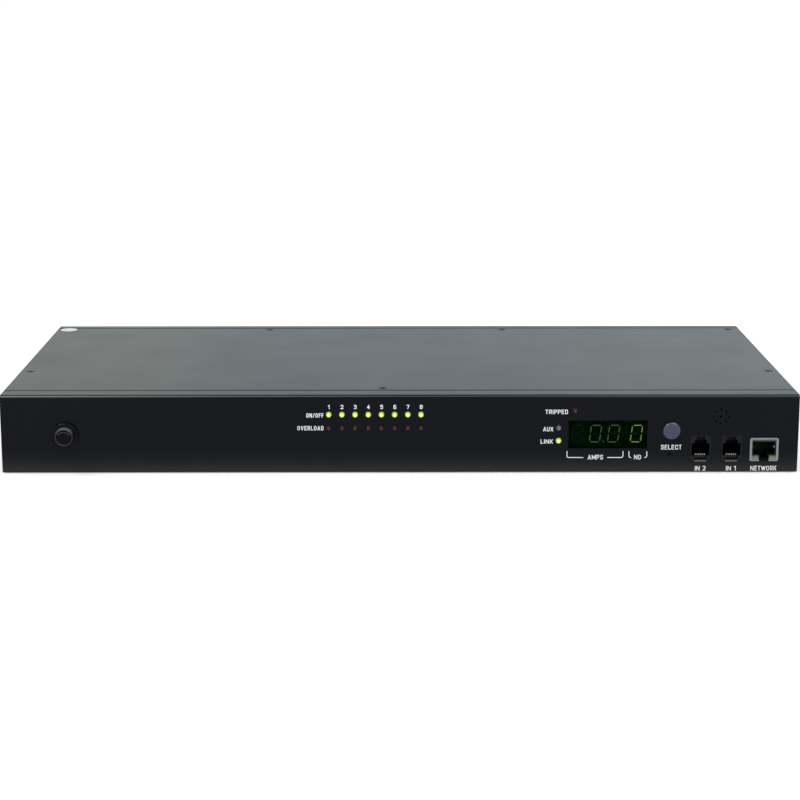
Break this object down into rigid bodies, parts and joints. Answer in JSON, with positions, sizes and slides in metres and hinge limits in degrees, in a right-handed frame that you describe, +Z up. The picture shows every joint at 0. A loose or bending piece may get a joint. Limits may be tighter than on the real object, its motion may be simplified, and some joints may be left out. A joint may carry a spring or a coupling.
{
  "type": "rack power distribution unit",
  "caption": "Low, wide black sheet-metal rack power unit with lamp rows, a digit meter, a push button, modular sockets and a breaker in front, and appliance outlets and a mains inlet behind.",
  "frame": {"origin": "middle of the case's underside", "axes": "+X to the right as seen from the front, +Y from the front panel to the rear, +Z up"},
  "size_m": [0.44, 0.2193, 0.0439],
  "materials": {
    "case_paint": "satin black powder coat",
    "screw_steel": "black zinc plated steel",
    "seal_paper": "plain white paper seal",
    "green_lens": "tinted clear lamp lens",
    "red_lens": "tinted clear lamp lens, unlit",
    "clear_lens": "milky lamp lens, unlit",
    "window_tint": "dark green tinted window",
    "display_black": "dark display module",
    "button_grey": "blue-grey moulded plastic",
    "switch_black": "black moulded plastic",
    "socket_black": "black moulded plastic",
    "socket_shield": "tinned steel can",
    "breaker_black": "black moulded plastic",
    "outlet_black": "black moulded plastic",
    "board_green": "green circuit board",
    "supply_black": "sealed black block",
    "post_brass": "plain brass",
    "board_screw_steel": "zinc plated steel",
    "lead_brown": "insulated wire",
    "ribbon_grey": "grey flat cable"
  },
  "bodies": {
    "unit": {"front_panel": "case_paint", "rear_panel": "case_paint", "base_tray": "case_paint", "top_cover": "case_paint", "cover_screws": "screw_steel", "inlet_screws": "screw_steel", "seal_sticker": "seal_paper", "outlet_led_1": "green_lens", "outlet_led_2": "green_lens", "outlet_led_3": "green_lens", "outlet_led_4": "green_lens", "outlet_led_5": "green_lens", "outlet_led_6": "green_lens", "outlet_led_7": "green_lens", "outlet_led_8": "green_lens", "link_led": "green_lens", "overload_led_1": "red_lens", "overload_led_2": "red_lens", "overload_led_3": "red_lens", "overload_led_4": "red_lens", "overload_led_5": "red_lens", "overload_led_6": "red_lens", "overload_led_7": "red_lens", "overload_led_8": "red_lens", "trip_led": "red_lens", "aux_led": "clear_lens", "network_lamps": "clear_lens", "display_window": "window_tint", "meter_display": "display_black", "id_display": "display_black", "function_switch": "switch_black", "reset_switch": "switch_black", "buzzer": "switch_black", "sensor_jack_1": "socket_black", "sensor_jack_2": "socket_black", "network_jack": "socket_black", "network_shield": "socket_shield", "breaker_body": "breaker_black", "breaker_nut": "breaker_black", "outlet_1": "outlet_black", "outlet_2": "outlet_black", "outlet_3": "outlet_black", "outlet_4": "outlet_black", "outlet_5": "outlet_black", "outlet_6": "outlet_black", "outlet_7": "outlet_black", "outlet_8": "outlet_black", "power_inlet": "outlet_black", "display_board": "board_green", "control_board": "board_green", "relay_board": "board_green", "power_supply": "supply_black", "panel_standoffs": "post_brass", "board_standoffs": "post_brass", "board_screws": "board_screw_steel", "breaker_leads": "lead_brown", "ribbon_cable": "ribbon_grey"},
    "function_key": {"function_button": "button_grey"},
    "breaker_key": {"breaker_button": "breaker_black"},
    "reset_key": {"reset_plunger": "switch_black"}
  },
  "joints": [
    {"name": "function_press", "type": "slide", "parent": "unit", "child": "function_key", "axis": [0, 1, 0], "range_m": [0, 0.0005], "stiffness_N_per_m": 1500, "springref_m": -0.0005},
    {"name": "reset_press", "type": "slide", "parent": "unit", "child": "reset_key", "axis": [0, 1, 0], "range_m": [0, 0.00025], "stiffness_N_per_m": 1500, "springref_m": -0.0005},
    {"name": "breaker_trip", "type": "slide", "parent": "unit", "child": "breaker_key", "axis": [0, -1, 0], "range_m": [0, 0.004]}
  ]
}
